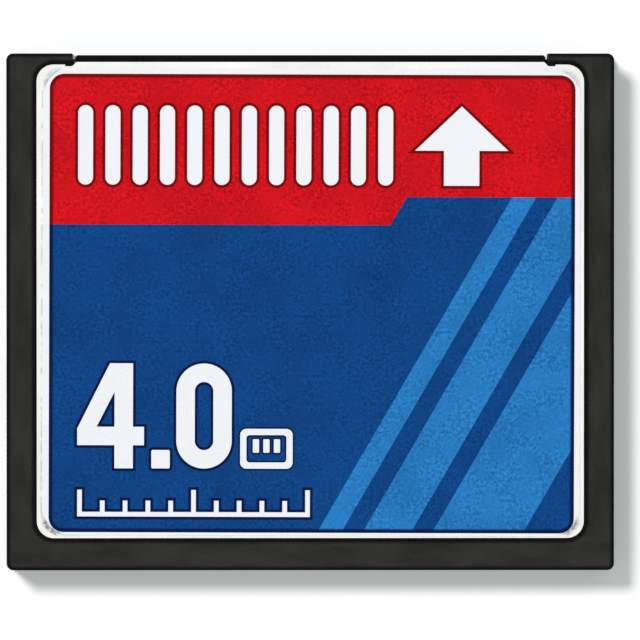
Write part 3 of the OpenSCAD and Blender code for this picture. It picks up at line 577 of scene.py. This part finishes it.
whiteInkFinish = newFinish("whiteInk", buildInk(whiteInk, 0.03))
keylineFinishes = {name: newFinish(name + "Keyline", buildInk(colour, inkFilm["contrast"]))
                   for name, colour in keylineInks.items()}
for name, marks, wide in (("number", numberMarks(), finePrint["keyline"]),
                          ("sign", signMarks(), finePrint["signKeyline"])):
    printPiece("white_" + name + "_print", marks[0] + marks[1], finePrint["whiteThickness"], whiteInkFinish)
    printPiece(name + "_keyline", ringed(marks, wide), finePrint["keylineThickness"], keylineFinishes["blue"])
printPiece("scale_keyline", ringed(scaleMarks()), finePrint["keylineThickness"], keylineFinishes["blue"])
printPiece("header_keyline", ringed(headerMarks()), finePrint["keylineThickness"], keylineFinishes["red"])
print("stage: fine print is laid on")


# Socket header

connectorPlastic = {
    "colour": linear(6, 6, 6),
    "roughness": 0.45,
    "specular": 0.045,
    "flow": 1.2 * mm,        # flow marks of the glass-filled resin
    "grain": 0.05 * mm,
    "grainDepth": 0.002 * mm,
}


def buildConnectorPlastic(work):
    values = connectorPlastic
    flow = work.noise(values["flow"], 4, (0.4, 1, 1))
    grain = work.noise(values["grain"], 2)
    return {
        "Base Color": work.blend(flow, lift(values["colour"], -0.2), lift(values["colour"], 0.35)),
        "Roughness": values["roughness"] + (flow - 0.5) * 0.3,
        "Specular IOR Level": values["specular"],
        "Normal": work.bump(grain, values["grainDepth"]),
    }


contactGold = {
    "colour": (0.86, 0.62, 0.25),
    "roughness": 0.24,
    "stamping": 0.03 * mm,   # drawn lines from the stamping tool
}


def buildContactGold(work):
    values = contactGold
    lines = work.noise(values["stamping"], 2, (1, 0.1, 1))
    return {
        "Base Color": work.blend(lines, lift(values["colour"], -0.12), lift(values["colour"], 0.1)),
        "Metallic": 1,
        "Roughness": values["roughness"] + (lines - 0.5) * 0.2,
        "Normal": work.bump(lines, 0.0008 * mm),
    }


dress(newFinish("connectorPlastic", buildConnectorPlastic), "connector_housing")
dress(newFinish("contactGold", buildContactGold), "upper_contacts", "lower_contacts")
print("stage: socket header is finished")


# Pieces inside the card

boardLaminate = {
    "mask": linear(16, 84, 48),
    "copper": linear(38, 122, 72),   # copper showing paler through the mask
    "trackPitch": 0.45 * mm,
    "roughness": 0.32,
}


def buildBoardLaminate(work):
    values = boardLaminate
    turns = work.node("TexVoronoi", {"distance": "CHEBYCHEV"},
                      {"Vector": work.place(), "Scale": 1 / (5 * mm), "Randomness": 0.8}, "Color")
    side = work.node("SeparateColor", {}, {"Color": turns}, "Red")
    along = work.math("SINE", work.axis("X") * (2 * math.pi / values["trackPitch"]))
    across = work.math("SINE", work.axis("Y") * (2 * math.pi / values["trackPitch"]))
    choice = side > 0.5
    tracks = work.step(along * choice + across * (1 - choice), 0.2, 0.5)
    weave = work.noise(0.2 * mm, 2)
    return {
        "Base Color": work.blend(tracks * 0.8 + weave * 0.2, values["mask"], values["copper"]),
        "Roughness": values["roughness"] + weave * 0.1,
        "Normal": work.bump(tracks + weave * 0.3, 0.004 * mm),
    }


def grainyFinish(colour, roughness, size, contrast=0.1, metallic=0, depth=0.001 * mm, specular=0.4):
    # Finish of a plain small piece: one colour with a grain of the given size
    def build(work):
        grain = work.noise(size, 4, roughness=0.6)
        return {
            "Base Color": work.blend(grain, lift(colour, -contrast), lift(colour, contrast)),
            "Metallic": metallic,
            "Roughness": roughness + (grain - 0.5) * 0.2,
            "Specular IOR Level": specular,
            "Normal": work.bump(grain, depth),
        }
    return build


innerFinishes = {
    "solderTin": (grainyFinish(linear(205, 205, 200), 0.35, 0.2 * mm, 0.12, 1),
                  ["top_solder_pads", "bottom_solder_pads", "controller_leads", "upper_flash_leads",
                   "lower_flash_leads", "regulator_leads", "capacitor_ends", "resistor_ends"]),
    "chipResin": (grainyFinish(linear(34, 34, 36), 0.55, 0.08 * mm, 0.25, 0, 0.003 * mm),
                  ["controller_chip", "upper_flash_chip", "lower_flash_chip", "voltage_regulator"]),
    "firedCeramic": (grainyFinish(linear(181, 150, 118), 0.5, 0.1 * mm, 0.12), ["crystal_base", "capacitors"]),
    "resistorGlaze": (grainyFinish(linear(26, 26, 30), 0.25, 0.3 * mm, 0.2), ["resistors"]),
    "crystalLid": (grainyFinish(linear(214, 208, 190), 0.3, 0.15 * mm, 0.08, 1), ["crystal_lid"]),
    "coverAdhesive": (grainyFinish(linear(214, 202, 168), 0.6, 0.5 * mm, 0.08),
                      ["top_cover_adhesive", "bottom_cover_adhesive"]),
    "insulatingFilm": (grainyFinish(linear(186, 122, 34), 0.2, 3 * mm, 0.1), ["top_insulator", "bottom_insulator"]),
}
dress(newFinish("boardLaminate", buildBoardLaminate), "circuit_board")
for name, (build, pieces) in innerFinishes.items():
    dress(newFinish(name, build), *pieces)
print("stage: inner pieces are finished")


# Floor

studioFloor = {
    "size": 4,
    "colour": (0.86, 0.86, 0.86),
    "glow": 0.24,            # lifts the floor to white where the camera or a reflection sees it
    "glowColour": (0.92, 1, 0.965),     # only the shadow shows it, as a cool grey
    "drop": 0.01 * mm,       # clear of the card's underside, so that the two faces don't flicker
    "margin": 0.4 * mm,      # how far the floor reaches in under the card's edge
}


def makeFloor():
    half = studioFloor["size"] / 2
    mesh = bpy.data.meshes.new("studioFloor")
    low = -studioFloor["drop"]
    corners = [(-half, -half, low), (half, -half, low), (half, half, low), (-half, half, low)]
    mesh.from_pydata(corners, [], [(0, 1, 2, 3)])
    floor = bpy.data.objects.new("studioFloor", mesh)
    bpy.context.collection.objects.link(floor)
    material = bpy.data.materials.new("floorPaper")
    work = NodeWork(material)
    paper = work.node("BsdfDiffuse", {}, {"Color": studioFloor["colour"]})
    glow = work.node("Emission", {}, {"Color": studioFloor["glowColour"], "Strength": studioFloor["glow"]})
    lifted = work.node("AddShader", {}, {0: paper, 1: glow})
    shown = work.node("MixShader", {}, {0: seenDirectly(work), 1: paper, 2: lifted})
    # Clear from below and under the card, so that the card's underside can be looked at and gets light
    underCard = work.past(frameOutline) < -studioFloor["margin"]
    clearPlace = work.math("MAXIMUM", work.node("NewGeometry", output="Backfacing"), underCard)
    surface = work.node("MixShader", {}, {0: clearPlace, 1: shown, 2: work.node("BsdfTransparent")})
    work.node("OutputMaterial", {}, {"Surface": surface})
    mesh.materials.append(material)


def seenDirectly(work):
    # 1 for rays that show the background: from the camera, in a reflection or through something clear
    camera = work.node("LightPath", output="Is Camera Ray")
    glossy = work.node("LightPath", output="Is Glossy Ray")
    through = work.node("LightPath", output="Is Transmission Ray")
    return work.math("MINIMUM", camera + glossy + through, 1)


makeFloor()


# Light

studioLight = {
    "sky": 0.35,             # soft light from all round
    "background": 1.0,
    "sun": 2.5,
    "sunSize": 15,           # degrees; a wide sun gives the soft edge of the shadow
    "elevation": 54.5,
    "azimuth": 135,          # from the upper left of the picture
}


def makeLight():
    world = bpy.data.worlds.new("studioSky")
    bpy.context.scene.world = world
    work = NodeWork(world)
    seen = seenDirectly(work)
    strength = seen * studioLight["background"] + (1 - seen) * studioLight["sky"]
    sky = work.node("Background", {}, {"Color": (1, 1, 1), "Strength": strength})
    work.node("OutputWorld", {}, {"Surface": sky})
    lamp = bpy.data.lights.new("softKey", "SUN")
    lamp.energy = studioLight["sun"]
    lamp.angle = math.radians(studioLight["sunSize"])
    key = bpy.data.objects.new("softKey", lamp)
    elevation = math.radians(studioLight["elevation"])
    azimuth = math.radians(studioLight["azimuth"])
    towards = Vector((math.cos(azimuth) * math.cos(elevation), math.sin(azimuth) * math.cos(elevation),
                      math.sin(elevation)))
    key.rotation_euler = towards.to_track_quat("Z", "Y").to_euler()
    bpy.context.collection.objects.link(key)


makeLight()


# Camera

photoView = {
    "imageSide": 640,        # pixels
    "cardMiddle": (310.4, 312),
    "pixelsPerMm": 14.2,
    "lens": 480,
    "sensor": 36,
    "facePlane": 3.2 * mm,   # height at which the card's outline is seen
    "lean": (-0.7, 1.17),    # degrees from straight above, towards the card's left and its connector end
}


def makeCamera():
    values = photoView
    seenWidth = values["imageSide"] / values["pixelsPerMm"] * mm
    distance = seenWidth * values["lens"] / values["sensor"]
    offset = [(values["imageSide"] / 2 - middle) / values["pixelsPerMm"] * mm for middle in values["cardMiddle"]]
    leanLeft, leanFront = [math.radians(degrees) for degrees in values["lean"]]
    turn = Euler((-leanFront, leanLeft, 0))
    aim = Vector((offset[0], -offset[1], values["facePlane"]))
    camera = bpy.data.cameras.new("photoCamera")
    camera.lens = values["lens"]
    camera.sensor_width = values["sensor"]
    camera.clip_start = 10 * mm
    holder = bpy.data.objects.new("photoCamera", camera)
    holder.location = aim + turn.to_matrix() @ Vector((0, 0, distance))
    holder.rotation_euler = turn
    bpy.context.collection.objects.link(holder)
    bpy.context.scene.camera = holder


makeCamera()
bpy.context.scene.view_settings.view_transform = "Standard"
print("stage: floor, light and camera are set")
